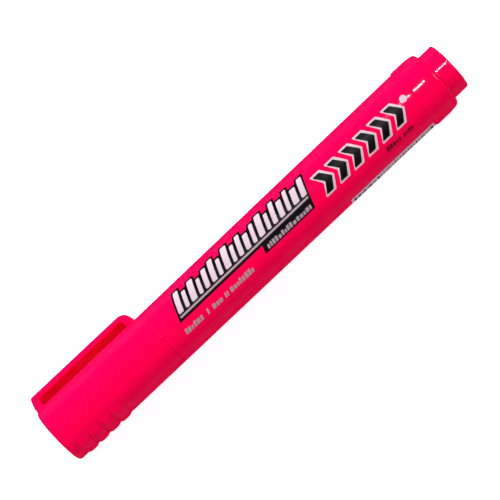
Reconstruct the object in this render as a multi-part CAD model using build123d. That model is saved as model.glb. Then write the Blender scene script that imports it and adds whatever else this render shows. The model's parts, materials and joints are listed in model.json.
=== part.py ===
from build123d import *
from math import asin, cos, degrees, hypot, radians, sin, tan
import os

# Capped chisel-tip highlighter pen, lying on a desk.
#
# Every piece is drawn in the pen's own frame: the axis runs along X from the cap's
# closed end at x = 0 to the rear end, and the pocket clip stands up along +Z.
# place() then lays the finished pen down as it comes to rest on a desk, rolled over
# until its clip is as low as the cap's underside. The origin is then in the middle of
# the pen's box, on the desk.

# ---- Driving dimensions, millimetres and degrees ----

# Outside
overall_length = 134.0
cap_length = 36.0
front_radius = 8.15          # cap mouth and barrel front
cap_draft = 0.10             # how much slimmer the cap is at its closed end
barrel_growth = 0.20         # how much fatter the barrel is at its rear end
cap_edge = 1.0               # rounding of the cap's closed end
seam_edge = 0.10             # rounding of the two edges that meet at the cap's mouth
mouth_gap = 0.05             # between the cap's mouth and the barrel

# Cap
cap_wall = 1.30
cap_end_wall = 1.50
cap_floor_round = 0.4
mouth_chamfer = 0.3          # lead-in at the mouth, half as deep again as it is long
inner_rib_count = 6
inner_rib_thickness = 1.0
snap_setback = 3.2           # snap bead to the barrel's front face
snap_width = 1.6
snap_height = 0.05
snap_groove_clearance = 0.10

# Grip ribs on the cap, opposite the clip
grip_count = 4
grip_first = 4.75            # middle of the first rib, from the closed end
grip_pitch = 3.68
grip_width = 2.9
grip_height = 0.42
grip_half_angle = 28.0
grip_flank = 0.45            # where the crest's arc starts, as a share of the bar's height

# Pocket clip
clip_width = 6.4
clip_edge_thickness = 1.70   # at the clip's long edges; its crowned middle is thicker
clip_gap = 1.80              # cap to arm
clip_root_length = 2.6       # closed end to the start of the gap
clip_root_slope = 16.0       # lean of the root's back face
clip_root_setback = 0.25     # back face to the closed end, where it leaves the cap
clip_tip_setback = 2.55      # clip's tip to the cap's mouth
clip_foot_length = 2.3
clip_foot_clearance = 0.15   # foot to cap
clip_tip_round = 2.6
clip_tip_draft = 0.3
clip_foot_round = 0.5
clip_edge_round = 0.45
clip_slit = 0.04             # between the root block and the flexing arm

# Inner cap
inner_cap_wall = 0.75
inner_cap_end_wall = 0.80
inner_cap_flange = 1.0
flange_clearance = 0.02
flange_round = 0.2
lip_length = 1.0
lip_height = 0.15
lip_lead = 0.6
seal_clearance = 0.05

# Nib
nib_width = 5.0
nib_thickness = 3.6
nib_corner = 0.8
nib_reach = 6.5              # how far it stands out of the nose
nib_slant = 24.0             # lean of the writing edge
nib_bevel = 24.0             # lean of each bevelled face
nib_edge_thickness = 1.0
nib_dip = 6.0                # how far its tail enters the reservoir
nib_tail_taper = 3.0
nib_to_cap = 5.5             # free space in front of the nib

# Nib holder
cap_clearance = 0.10         # cap's bore to the seat that it slides on
holder_wall = 1.10
nose_wall = 0.85
nose_draft = 0.35
nose_length = 3.5
nose_edge = 0.35
shoulder_round = 0.6
land_length = 6.5            # straight stretch that the inner cap seals on
shoulder_length = 2.2
insert_length = 10.0         # part that is pressed into the barrel
locating_depth = 6.0         # how far the reservoir enters the holder
tube_wall = 0.70
tube_setback = 1.0           # nib tube's end to the reservoir
web_thickness = 0.9
air_groove = 0.5

# Barrel
barrel_wall = 1.25
barrel_rib_count = 6
barrel_rib_thickness = 0.8
barrel_rib_height = 0.92

# Ink reservoir
reservoir_clearance = 0.05
film_thickness = 0.15

# Rear plug
spigot_length = 4.7
post_clearance = 0.05        # cap's bore to the spigot, when the cap is posted
spigot_edge = 0.5
spigot_root = 0.45
collar_length = 7.9
collar_step = 0.30
collar_ramp = 0.8            # length and rounding of the step up to the collar
collar_round = 1.35
plug_wall = 1.25
plug_end_wall = 1.7
plug_floor_round = 0.5
plug_insert_length = 10.0
plug_lead = 0.3
web_length = 8.0
dish_radius = 4.4
dish_depth = 0.5
gate_radius = 0.6
gate_height = 0.25

# ---- Derived sizes ----

# Radii from the outside in
cap_end_radius = front_radius - cap_draft
barrel_rear_radius = front_radius + barrel_growth
collar_radius = barrel_rear_radius + collar_step
cap_bore_radius = front_radius - cap_wall
seat_radius = cap_bore_radius - cap_clearance
spigot_radius = cap_bore_radius - post_clearance
barrel_bore_radius = front_radius - barrel_wall
rib_tip_radius = barrel_bore_radius - barrel_rib_height
film_radius = rib_tip_radius - reservoir_clearance
core_radius = film_radius - film_thickness
plug_bore_radius = spigot_radius - plug_wall
holder_bore_radius = seat_radius - holder_wall

# Radii from the nib out
nib_reach_radius = hypot(nib_width / 2 - nib_corner, nib_thickness / 2 - nib_corner) + nib_corner
nose_radius = nib_reach_radius + nose_wall
land_radius = nose_radius + nose_draft
tube_radius = nib_reach_radius + tube_wall
lip_radius = land_radius + seal_clearance
inner_cap_bore_radius = lip_radius + lip_height
inner_cap_radius = inner_cap_bore_radius + inner_cap_wall

# Stations along the pen
front_x = cap_length + mouth_gap
inner_cap_floor_x = cap_end_wall + inner_cap_end_wall
nib_tip_x = inner_cap_floor_x + nib_to_cap
nose_x = nib_tip_x + nib_reach
land_front_x = nose_x + nose_length
land_rear_x = land_front_x + land_length
seat_front_x = land_rear_x + shoulder_length
lip_x = land_front_x + land_length / 2
inner_cap_rear_x = lip_x + lip_length + lip_lead
insert_rear_x = front_x + insert_length
reservoir_front_x = insert_rear_x - locating_depth
tube_rear_x = reservoir_front_x - tube_setback
nib_tail_x = reservoir_front_x + nib_dip
snap_x = max(front_x - snap_setback, seat_front_x + shoulder_round + snap_width / 2)  # stays on the seat
spigot_x = overall_length - spigot_length
collar_x = spigot_x - collar_length
plug_front_x = collar_x - plug_insert_length

# Clip
clip_half_width = clip_width / 2
clip_inner_height = front_radius + clip_gap
clip_outer_radius = hypot(clip_inner_height + clip_edge_thickness, clip_half_width)
clip_tip_x = cap_length - clip_tip_setback
clip_hinge = (clip_root_length, 0.0, clip_outer_radius)

# How the pen lies: the clip's lower edge is level with the cap's underside
clip_dip = degrees(asin(front_radius / clip_outer_radius) - asin(clip_half_width / clip_outer_radius))


# ---- Helpers ----


def turned(*corners):
    """A solid turned about the pen's axis. Each corner is (x, radius) or (x, radius, rounding)."""
    rounding = [corner[2] if len(corner) > 2 else 0 for corner in corners]
    outline = FilletPolyline(*[corner[:2] for corner in corners], radius=rounding, close=True)
    return revolve(make_face(outline), Axis.X)


def rod(x_start, x_end, radius):
    """A plain round bar along the pen's axis."""
    return turned((x_start, 0), (x_start, radius), (x_end, radius), (x_end, 0))


def spokes(x_start, x_end, inner_radius, outer_radius, count, thickness):
    """Radial plates, evenly spaced, that fill a ring between two radii."""
    plate = Pos((x_start + x_end) / 2, 0, outer_radius / 2) * Box(x_end - x_start, thickness, outer_radius)
    star = [Rot(X=360 / count * i) * plate for i in range(count)]
    ring = turned(
        (x_start, inner_radius), (x_start, outer_radius), (x_end, outer_radius), (x_end, inner_radius)
    )
    return ring & (Part() + star)


def side_plate(corners, rounding, width):
    """A plate that stands in the clip's plane, from its outline of (x, z) corners and their roundings."""
    if rounding:
        outline = FilletPolyline(*corners, radius=rounding, close=True)
    else:
        outline = Polyline(*corners, close=True)
    return extrude(Plane.XZ * make_face(outline), width / 2, both=True)


def nib_bar(x_start, x_end):
    """A bar of the nib's section: its width stands along Z, its thickness along Y."""
    section = RectangleRounded(nib_thickness, nib_width, nib_corner)
    return extrude(Plane.YZ.offset(x_start) * section, x_end - x_start)


# ---- Cap ----


def grip_rib(x):
    """One rounded bar across the cap's underside."""
    front, back = x - grip_width / 2, x + grip_width / 2
    base = cap_end_radius - grip_height
    crest = front_radius + grip_height
    flank = base + (crest - base) * grip_flank
    profile = make_face([
        ThreePointArc((front, flank), (x, crest), (back, flank)),
        Polyline((back, flank), (back, base), (front, base), (front, flank)),
    ])
    bar = revolve(profile, Axis.X, 2 * grip_half_angle)
    return Rot(X=-90 - grip_half_angle) * bar


def clip_root():
    """The solid block at the closed end that carries the clip."""
    base = cap_end_radius / 2
    top = clip_outer_radius + clip_gap
    lean = (top - cap_end_radius) * tan(radians(clip_root_slope))
    block = side_plate(
        [
            (cap_edge, base),
            (clip_root_setback, cap_end_radius),
            (clip_root_setback + lean, top),
            (clip_root_length, top),
            (clip_root_length, base),
        ],
        0,
        clip_width,
    )
    block = block & rod(0, clip_root_length, clip_outer_radius)
    clear_of_cap = block.edges().filter_by(lambda edge: edge.center().Z > front_radius + clip_gap / 4)
    exposed = clear_of_cap.filter_by(lambda edge: edge.center().X < clip_root_length - clip_slit)
    return fillet(exposed, clip_edge_round)


def cap_shell():
    """The outer cap, with the clip's root block, the grip ribs and the ribs that hold the inner cap."""
    shell = rod(cap_edge, cap_length - cap_edge, cap_bore_radius) + turned(
        (0, 0),
        (0, cap_end_radius, cap_edge),
        (cap_length, front_radius, seam_edge),
        (cap_length, 0),
    )
    shell += clip_root()
    shell += [grip_rib(grip_first + i * grip_pitch) for i in range(grip_count)]
    shell -= turned(
        (cap_end_wall, 0),
        (cap_end_wall, cap_bore_radius, cap_floor_round),
        (snap_x - snap_width, cap_bore_radius),
        (snap_x, cap_bore_radius + snap_groove_clearance),
        (snap_x + snap_width, cap_bore_radius),
        (cap_length - mouth_chamfer, cap_bore_radius),
        (cap_length, cap_bore_radius + 1.5 * mouth_chamfer),
        (cap_length, 0),
    )
    return shell + spokes(
        cap_end_wall,
        inner_cap_rear_x - inner_cap_flange,
        inner_cap_radius,
        cap_bore_radius,
        inner_rib_count,
        inner_rib_thickness,
    )


def inner_cap():
    """The soft thimble in the cap that seals on the holder's land and keeps the nib wet."""
    flange_radius = cap_bore_radius - flange_clearance
    flange_front_x = inner_cap_rear_x - inner_cap_flange
    return turned(
        (cap_end_wall, 0),
        (cap_end_wall, inner_cap_radius, flange_round),
        (flange_front_x, inner_cap_radius),
        (flange_front_x, flange_radius, flange_round),
        (inner_cap_rear_x, flange_radius, flange_round),
        (inner_cap_rear_x, inner_cap_bore_radius + lip_lead, flange_round),
        (lip_x + lip_length, lip_radius),
        (lip_x, lip_radius),
        (lip_x - lip_length, inner_cap_bore_radius),
        (inner_cap_floor_x, inner_cap_bore_radius, lip_lead),
        (inner_cap_floor_x, 0),
    )


def pocket_clip():
    """The clip's flexing arm and the foot that presses on the cloth."""
    start_x = clip_root_length + clip_slit
    foot_x = clip_tip_x - clip_foot_length
    sunk = cap_end_radius / 2
    arm = side_plate(
        [
            (start_x, clip_inner_height),
            (start_x, clip_outer_radius + clip_tip_draft),
            (clip_tip_x - clip_tip_draft, clip_outer_radius),
            (clip_tip_x, sunk),
            (foot_x, sunk),
            (foot_x, clip_inner_height),
        ],
        [0, 0, clip_tip_round, 0, 0, clip_foot_round],
        clip_width,
    )
    arm = arm & rod(start_x, cap_length, clip_outer_radius)
    arm -= rod(start_x, cap_length, front_radius + clip_foot_clearance)
    side = arm.edges().filter_by(lambda edge: abs(abs(edge.center().Y) - clip_half_width) < clip_slit)
    outer = side.filter_by(
        lambda edge: edge.center().Z > clip_inner_height + clip_edge_thickness / 2
        or edge.center().X > clip_tip_x - clip_foot_length / 2
    )
    return fillet(outer.filter_by(lambda edge: edge.center().X > start_x + clip_slit), clip_edge_round)


# ---- Pen body ----


def barrel():
    """The tube, with the ribs inside that centre the reservoir and leave air beside it."""
    tube = turned(
        (front_x, barrel_bore_radius),
        (front_x, front_radius, seam_edge),
        (collar_x, barrel_rear_radius, seam_edge),
        (collar_x, barrel_bore_radius),
    )
    return tube + spokes(
        insert_rear_x,
        plug_front_x,
        rib_tip_radius,
        barrel_bore_radius,
        barrel_rib_count,
        barrel_rib_thickness,
    )


def nib_holder():
    """The front section: nose, sealing land, the seat that the cap slides on, and the pressed-in insert."""
    body = turned(
        (nose_x, 0),
        (nose_x, nose_radius, nose_edge),
        (land_front_x, land_radius),
        (land_rear_x, land_radius, shoulder_round),
        (seat_front_x, seat_radius, shoulder_round),
        (snap_x - snap_width / 2, seat_radius),
        (snap_x, seat_radius + snap_height),
        (snap_x + snap_width / 2, seat_radius),
        (front_x, seat_radius),
        (front_x, barrel_bore_radius),
        (insert_rear_x, barrel_bore_radius),
        (insert_rear_x, 0),
    )
    hollow_x = seat_front_x + holder_wall
    body -= rod(reservoir_front_x, insert_rear_x, rib_tip_radius)
    body -= rod(hollow_x, reservoir_front_x, holder_bore_radius)
    body += rod(land_rear_x, tube_rear_x, tube_radius)
    body += spokes(hollow_x, tube_rear_x, 0, holder_bore_radius, 4, web_thickness)
    body -= nib_bar(nose_x, tube_rear_x)
    middle = Pos((nose_x + tube_rear_x) / 2, 0, 0)
    length = tube_rear_x - nose_x
    body -= middle * Box(length, nib_thickness + 2 * air_groove, air_groove)
    body -= middle * Box(length, air_groove, nib_width + 2 * air_groove)
    return body


def nib():
    """The felt chisel nib: a slanted writing edge between two bevels, and a tapered tail."""
    slant = radians(nib_slant)
    half_width = nib_width / 2
    set_back = nib_width * tan(slant)
    corner_offcut = side_plate(
        [
            (nib_tip_x, half_width),
            (nib_tip_x + set_back, -half_width),
            (nib_tip_x, -half_width),
        ],
        0,
        nib_thickness,
    )
    # Each bevel's offcut is a wedge drawn square to the writing edge and run along it.
    edge_plane = Plane(
        origin=(nib_tip_x, 0, half_width),
        x_dir=(cos(slant), 0, sin(slant)),
        z_dir=(-sin(slant), 0, cos(slant)),
    )
    half_edge = nib_edge_thickness / 2
    top = half_edge + nib_thickness
    run = nib_thickness / tan(radians(nib_bevel))
    wedge = make_face(Polyline((0, half_edge), (run, top), (0, top), close=True))
    bevel_offcut = extrude(edge_plane * wedge, 2 * nib_width, both=True)
    tail_x = nib_tail_x - nib_tail_taper
    tail = loft([
        Plane.YZ.offset(tail_x) * RectangleRounded(nib_thickness, nib_width, nib_corner),
        Plane.YZ.offset(nib_tail_x) * RectangleRounded(nib_thickness / 2, nib_width / 2, nib_corner / 2),
    ])
    point = nib_bar(nib_tip_x, tail_x) - corner_offcut - bevel_offcut - mirror(bevel_offcut, Plane.XZ)
    return point + tail


def ink_reservoir():
    """The fibre rod that holds the ink, with the pocket that the nib's tail presses into it."""
    return rod(reservoir_front_x, plug_front_x, core_radius) - nib()


def reservoir_film():
    """The clear film that the fibre rod is wrapped in."""
    return turned(
        (reservoir_front_x, core_radius),
        (reservoir_front_x, film_radius),
        (plug_front_x, film_radius),
        (plug_front_x, core_radius),
    )


def rear_plug():
    """The stepped end: a collar that closes the barrel and a spigot that the cap is posted on."""
    end_x = overall_length
    dish_x = end_x - dish_depth
    plug = turned(
        (plug_front_x, plug_bore_radius),
        (plug_front_x, barrel_bore_radius - plug_lead),
        (plug_front_x + 2 * plug_lead, barrel_bore_radius),
        (collar_x, barrel_bore_radius),
        (collar_x, barrel_rear_radius, seam_edge),
        (collar_x + collar_ramp, collar_radius, collar_ramp),
        (spigot_x, collar_radius, collar_round),
        (spigot_x, spigot_radius, spigot_root),
        (end_x, spigot_radius, spigot_edge),
        (end_x, 0),
        (end_x - plug_end_wall, 0),
        (end_x - plug_end_wall, plug_bore_radius, plug_floor_round),
    )
    plug -= rod(dish_x, end_x, dish_radius)
    plug += rod(dish_x, dish_x + gate_height, gate_radius)
    return plug + spokes(plug_front_x, plug_front_x + web_length, 0, plug_bore_radius, 4, web_thickness)


# ---- The whole pen ----

makers = {
    "cap_shell": cap_shell,
    "inner_cap": inner_cap,
    "pocket_clip": pocket_clip,
    "barrel": barrel,
    "nib_holder": nib_holder,
    "nib": nib,
    "ink_reservoir": ink_reservoir,
    "reservoir_film": reservoir_film,
    "rear_plug": rear_plug,
}


def place(pieces):
    """Rolls the pen onto its clip, with its box standing on the origin; returns the pieces and the move."""
    roll = Rot(X=-90 - clip_dip)
    box = Compound([roll * piece for piece in pieces.values()]).bounding_box()
    middle = box.center()
    move = Pos(-middle.X, -middle.Y, -box.min.Z) * roll
    return {name: move * piece for name, piece in pieces.items()}, move


def main():
    os.makedirs("parts", exist_ok=True)
    pieces, move = place({name: make() for name, make in makers.items()})
    for name, piece in pieces.items():
        export_step(piece, f"parts/{name}.step")
    axis_point = (move * Pos(0, 0, 0)).position
    hinge_point = (move * Pos(*clip_hinge)).position
    print("pen axis starts at", axis_point, "and the clip dips", round(clip_dip, 3), "degrees")
    print("clip hinge at", hinge_point)


if __name__ == "__main__":
    main()
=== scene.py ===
import json
import random
from math import atan2, cos, hypot, pi, radians, sin, sqrt, tan

import bmesh
import bpy
from mathutils import Matrix, Vector


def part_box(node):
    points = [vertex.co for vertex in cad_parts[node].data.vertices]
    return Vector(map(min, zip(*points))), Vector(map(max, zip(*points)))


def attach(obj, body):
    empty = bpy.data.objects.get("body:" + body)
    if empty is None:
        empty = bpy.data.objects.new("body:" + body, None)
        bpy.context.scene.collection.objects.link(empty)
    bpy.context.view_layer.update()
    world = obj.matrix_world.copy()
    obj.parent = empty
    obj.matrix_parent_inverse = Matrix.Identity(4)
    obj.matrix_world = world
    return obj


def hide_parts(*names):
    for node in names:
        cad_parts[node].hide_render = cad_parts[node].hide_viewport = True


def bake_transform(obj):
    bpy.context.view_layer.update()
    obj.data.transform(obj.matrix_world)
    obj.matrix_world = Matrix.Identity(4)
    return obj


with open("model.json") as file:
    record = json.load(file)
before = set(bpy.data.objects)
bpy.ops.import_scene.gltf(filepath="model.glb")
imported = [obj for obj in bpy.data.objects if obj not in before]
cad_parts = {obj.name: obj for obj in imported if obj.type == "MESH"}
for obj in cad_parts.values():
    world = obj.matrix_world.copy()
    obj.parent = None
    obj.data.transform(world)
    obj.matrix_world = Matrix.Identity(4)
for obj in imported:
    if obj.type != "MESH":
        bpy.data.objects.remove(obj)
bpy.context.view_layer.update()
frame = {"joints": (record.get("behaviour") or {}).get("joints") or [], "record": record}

# A capped highlighter in fluorescent pink, lying on white paper.
#
# Meshes are drawn in millimetres in the pen's own axes: x runs from the cap's closed end
# to the rear and z points out through the pocket clip. penToRow lays them in the frame.

print("frame: reading the pen's sizes")

joints = {joint["name"]: joint for joint in frame["joints"]}
mounts = {mount["name"]: mount for mount in frame["record"]["mounts"]}
capLow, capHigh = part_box("cap_shell")
plugLow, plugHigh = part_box("rear_plug")
axisStart = Vector((capLow.x, (plugLow.y + plugHigh.y) / 2, (plugLow.z + plugHigh.z) / 2))
hingeAxis = Vector(joints["clip_flex"]["axis"]).normalized()
clipOut = hingeAxis.cross(Vector((1, 0, 0)))
penToRow = (
    Matrix.Translation(axisStart)
    @ Matrix((Vector((1, 0, 0)), -hingeAxis, clipOut)).transposed().to_4x4()
    @ Matrix.Scale(0.001, 4)
)
topAngle = atan2(-hingeAxis.z, clipOut.z)  # the line along the top of the lying pen, round from the clip


def reach(node):  # where a node starts and ends along the pen, in millimetres
    low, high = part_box(node)
    return (low.x - axisStart.x) * 1000, (high.x - axisStart.x) * 1000


def widestRadius(node):
    low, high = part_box(node)
    return (high.y - low.y) * 500


spigot = mounts["rear_spigot"]
spigotMiddle = (spigot["pos_m"][0] - axisStart.x) * 1000
hingePoint = penToRow.inverted() @ Vector(joints["clip_flex"]["pos_m"])

pen = {
    "capLength": reach("cap_shell")[1],
    "frontRadius": (capHigh.z - axisStart.z) * 1000,  # cap's mouth and barrel's front
    "barrelFront": reach("barrel")[0],
    "barrelRear": reach("barrel")[1],
    "rearRadius": widestRadius("barrel"),
    "collarRadius": widestRadius("rear_plug") - 0.002,  # a hair inside the frame's box
    "spigotRadius": spigot["dims"]["r_mm"],
    "boreRadius": 6.9,
}


# Making meshes


def softened(corners, closed=False, steps=6):
    # An outline of (x, radius, rounding) corners, with an arc in place of each rounded corner.
    points = []
    last = len(corners) - 1
    for i, corner in enumerate(corners):
        here = Vector(corner[:2])
        rounding = corner[2] if len(corner) > 2 else 0
        if not rounding or (not closed and i in (0, last)):
            points.append(here)
            continue
        back = (Vector(corners[i - 1][:2]) - here).normalized()
        onward = (Vector(corners[i + 1 if i < last else 0][:2]) - here).normalized()
        half = back.angle(onward) / 2
        centre = here + (back + onward).normalized() * rounding / sin(half)
        spoke = here + back * rounding / tan(half) - centre
        turn = pi - 2 * half
        if back.cross(onward) > 0:
            turn = -turn
        points += [centre + Matrix.Rotation(turn * k / steps, 2) @ spoke for k in range(steps + 1)]
    return points


def spread(start, end, count):  # evenly spaced values, both ends included
    return [start + (end - start) * k / (count - 1) for k in range(count)]


def circle(x, radius, segments=160, swell=None):
    # A ring round the pen's axis, or one point where it closes on the axis.
    if radius < 1e-6:
        return [Vector((x, 0, 0))]
    ring = []
    for k in range(segments):
        angle = 2 * pi * k / segments
        r = radius + (swell(x, angle) if swell else 0)
        ring.append(Vector((x, r * sin(angle), r * cos(angle))))
    return ring


def turned(outline, segments=160):  # an outline turned round the pen's axis
    return [circle(x, r, segments) for x, r in outline]


def squircle(x, halfY, halfZ, segments=160, power=6):  # a rectangle with soft corners
    ring = []
    for k in range(segments):
        angle = 2 * pi * k / segments
        r = (abs(sin(angle) / halfY) ** power + abs(cos(angle) / halfZ) ** power) ** (-1 / power)
        ring.append(Vector((x, r * sin(angle), r * cos(angle))))
    return ring


def finishedPiece(name, mesh, material, body=None, node=None, creaseAngle=38):
    mesh.set_sharp_from_angle(angle=radians(creaseAngle))
    piece = bpy.data.objects.new(name, mesh)
    bpy.context.scene.collection.objects.link(piece)
    piece.data.materials.append(material)
    if body:
        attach(piece, body)
        evened = piece.modifiers.new("evenShading", "WEIGHTED_NORMAL")  # keeps broad faces flat
        evened.keep_sharp = True
    if node:
        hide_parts(node)
    return piece


def meshFrom(name, bm):
    bmesh.ops.recalc_face_normals(bm, faces=bm.faces)
    for face in bm.faces:
        face.smooth = True
    mesh = bpy.data.meshes.new(name)
    bm.to_mesh(mesh)
    bm.free()
    return mesh


def skinned(name, rings, loop=False, plates=()):
    # Joins neighbouring rings with faces. A ring of one point closes an end.
    bm = bmesh.new()
    verts = [[bm.verts.new(penToRow @ point) for point in ring] for ring in rings]
    pairs = list(zip(verts, verts[1:]))
    if loop:
        pairs.append((verts[-1], verts[0]))
    for near, far in pairs:
        count = max(len(near), len(far))
        for k in range(count):
            corners = [near[k % len(near)], near[(k + 1) % len(near)]]
            corners += [far[(k + 1) % len(far)], far[k % len(far)]]
            unique = list(dict.fromkeys(corners))
            if len(unique) > 2:
                bm.faces.new(unique)
    for plate in plates:
        addRadialPlates(bm, **plate)
    return meshFrom(name, bm)


def addRadialPlates(bm, start, end, inner, outer, count, thickness):
    # Flat ribs that stand on a tube's inside wall, evenly spaced.
    for k in range(count):
        turn = Matrix.Rotation(2 * pi * k / count, 4, "X")
        middle = Vector(((start + end) / 2, 0, (inner + outer) / 2))
        size = Matrix.Diagonal((end - start, thickness, outer - inner, 1))
        bmesh.ops.create_cube(bm, size=1, matrix=penToRow @ turn @ Matrix.Translation(middle) @ size)


# Materials


def shade(code):  # a hex colour in sRGB, as linear red, green, blue and alpha
    channels = [int(code[k : k + 2], 16) / 255 for k in (1, 3, 5)]
    return [c / 12.92 if c <= 0.04045 else ((c + 0.055) / 1.055) ** 2.4 for c in channels] + [1.0]


def perMillimetre(size):  # the texture scale that repeats once in size millimetres
    return 1000 / size


def addNode(tree, kind, inputs=None, **settings):
    # A Mix node's sockets go by number: 0 is the factor, and 6 and 7 are its two colours.
    node = tree.nodes.new(kind)
    for name, value in settings.items():
        setattr(node, name, value)
    for socket, value in (inputs or {}).items():
        if isinstance(value, bpy.types.NodeSocket):
            tree.links.new(value, node.inputs[socket])
        else:
            node.inputs[socket].default_value = value
    return node


def blankMaterial(name):
    material = bpy.data.materials.new(name)
    material.use_nodes = True
    material.node_tree.nodes.clear()
    return material, material.node_tree


def grained(tree, place, grainSize, detail, strength, settings, under=None):
    # Ends a material: the shader with its settings, over a fine grain of grainSize millimetres,
    # which may stand on the relief of another bump.
    noise = {"Vector": place, "Scale": perMillimetre(grainSize), "Detail": detail}
    grain = addNode(tree, "ShaderNodeTexNoise", noise)
    relief = {"Height": grain.outputs["Fac"], "Strength": strength, "Distance": 0.0001}
    if under:
        relief["Normal"] = under
    surface = addNode(tree, "ShaderNodeBump", relief)
    inputs = {**settings, "Normal": surface.outputs["Normal"]}
    shader = addNode(tree, "ShaderNodeBsdfPrincipled", inputs)
    addNode(tree, "ShaderNodeOutputMaterial", {"Surface": shader.outputs["BSDF"]})


# how light spreads inside white plastic
milky = {"Subsurface Radius": (1.0, 0.9, 0.85), "Subsurface Scale": 0.0015}

pinkPlastic = {
    "light": "#F00048",
    "deep": "#EB0044",
    "ior": 1.49,
    "roughLow": 0.09,
    "roughHigh": 0.16,
    "flowMarks": 14.0,  # millimetres across, as are the next three
    "handling": 3.0,
    "scuffs": 0.5,
    "grain": 0.45,
}


def fluorescentPolypropylene():
    # Injection-moulded polypropylene with a fluorescent pigment: saturated, a little see-through
    # at its edges, glossy from a polished mould and slightly rubbed by hands.
    look = pinkPlastic
    material, tree = blankMaterial("fluorescentPolypropylene")
    place = addNode(tree, "ShaderNodeTexCoord").outputs["Object"]
    flow = addNode(tree, "ShaderNodeTexNoise", {"Vector": place, "Scale": perMillimetre(look["flowMarks"])})
    colour = addNode(
        tree,
        "ShaderNodeMix",
        {0: flow.outputs["Fac"], 6: shade(look["deep"]), 7: shade(look["light"])},
        data_type="RGBA",
    )
    rubbed = addNode(
        tree,
        "ShaderNodeTexNoise",
        {"Vector": place, "Scale": perMillimetre(look["handling"]), "Detail": 5, "Roughness": 0.6},
    )
    roughness = addNode(
        tree,
        "ShaderNodeMapRange",
        {
            "Value": rubbed.outputs["Fac"],
            "From Min": 0.3,
            "From Max": 0.75,
            "To Min": look["roughLow"],
            "To Max": look["roughHigh"],
        },
    )
    stretched = addNode(tree, "ShaderNodeMapping", {"Vector": place, "Scale": (0.06, 1.0, 1.0)})
    scuffs = addNode(
        tree,
        "ShaderNodeTexNoise",
        {"Vector": stretched.outputs["Vector"], "Scale": perMillimetre(look["scuffs"]), "Detail": 3},
    )
    relief = {"Height": scuffs.outputs["Fac"], "Strength": 0.06, "Distance": 0.0001}
    scuffed = addNode(tree, "ShaderNodeBump", relief)
    shaderSettings = {
        "Base Color": colour.outputs[2],
        "Roughness": roughness.outputs["Result"],
        "IOR": look["ior"],
        "Subsurface Weight": 0.12,
        "Subsurface Radius": (0.9, 0.15, 0.35),
        "Subsurface Scale": 0.0012,
    }
    grained(tree, place, look["grain"], 2, 0.05, shaderSettings, scuffed.outputs["Normal"])
    return material


def plainPolymer(name, light, deep, roughness, grainSize, bump, subsurface=0.0):
    # A polymer surface with a grain of grainSize millimetres and faint clouds eight times as wide.
    material, tree = blankMaterial(name)
    place = addNode(tree, "ShaderNodeTexCoord").outputs["Object"]
    clouds = addNode(
        tree,
        "ShaderNodeTexNoise",
        {"Vector": place, "Scale": perMillimetre(grainSize * 8), "Detail": 4},
    )
    colour = addNode(
        tree,
        "ShaderNodeMix",
        {0: clouds.outputs["Fac"], 6: shade(deep), 7: shade(light)},
        data_type="RGBA",
    )
    rough = addNode(
        tree,
        "ShaderNodeMapRange",
        {
            "Value": clouds.outputs["Fac"],
            "From Min": 0.3,
            "From Max": 0.7,
            "To Min": roughness * 0.85,
            "To Max": roughness * 1.15,
        },
    )
    shaderSettings = {
        "Base Color": colour.outputs[2],
        "Roughness": rough.outputs["Result"],
        "IOR": 1.5,
        "Subsurface Weight": subsurface,
        **milky,
    }
    grained(tree, place, grainSize, 3, bump, shaderSettings)
    return material


def padPrintedInk(name, light, deep, roughness):
    # Pad-printed ink: a thin film, flatter than the plastic under it, with the pad's faint mottle.
    return plainPolymer(name, light, deep, roughness, 0.35, 0.10)


stainedHolder = {
    "plain": "#C6BFC1",
    "stained": "#D2537F",
    "strength": 0.85,
    "reach": (0.0036, 0.0052),  # metres from the nose to where the stain starts to fade and is gone
    "creep": 0.0022,  # how unevenly it has spread
    "creepPatches": 1.2,  # millimetres
    "grain": 0.5,
}


def stainedPolypropylene():
    # White moulded polypropylene, softly glossy and a little see-through. Ink has crept over it
    # around the nib, so it is pink at the nose.
    look = stainedHolder
    material, tree = blankMaterial("stainedPolypropylene")
    place = addNode(tree, "ShaderNodeTexCoord").outputs["Object"]
    nose = penToRow @ Vector((reach("nib_holder")[0], 0, 0))
    fromNose = addNode(tree, "ShaderNodeVectorMath", {0: place, 1: nose}, operation="DISTANCE")
    creep = addNode(
        tree,
        "ShaderNodeTexNoise",
        {"Vector": place, "Scale": perMillimetre(look["creepPatches"]), "Detail": 4},
    )
    uneven = addNode(
        tree,
        "ShaderNodeMath",
        {0: creep.outputs["Fac"], 1: look["creep"], 2: fromNose.outputs["Value"]},
        operation="MULTIPLY_ADD",
    )
    stain = addNode(
        tree,
        "ShaderNodeMapRange",
        {
            "Value": uneven.outputs[0],
            "From Min": look["reach"][0],
            "From Max": look["reach"][1],
            "To Min": look["strength"],
            "To Max": 0.0,
        },
    )
    colour = addNode(
        tree,
        "ShaderNodeMix",
        {0: stain.outputs["Result"], 6: shade(look["plain"]), 7: shade(look["stained"])},
        data_type="RGBA",
    )
    shaderSettings = {
        "Base Color": colour.outputs[2],
        "Roughness": 0.3,
        "IOR": 1.49,
        "Subsurface Weight": 0.2,
        **milky,
    }
    grained(tree, place, look["grain"], 3, 0.05, shaderSettings)
    return material


felt = {
    "deep": "#BE003E",
    "light": "#E0185E",
    "paintedGlow": "#FF0040",  # the ink's fluorescence, which is real, drawn as a painted glow that shines the same whatever light falls on it
    "paintedGlowStrength": 0.08,
    "fibre": 0.2,  # millimetres
}


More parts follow.
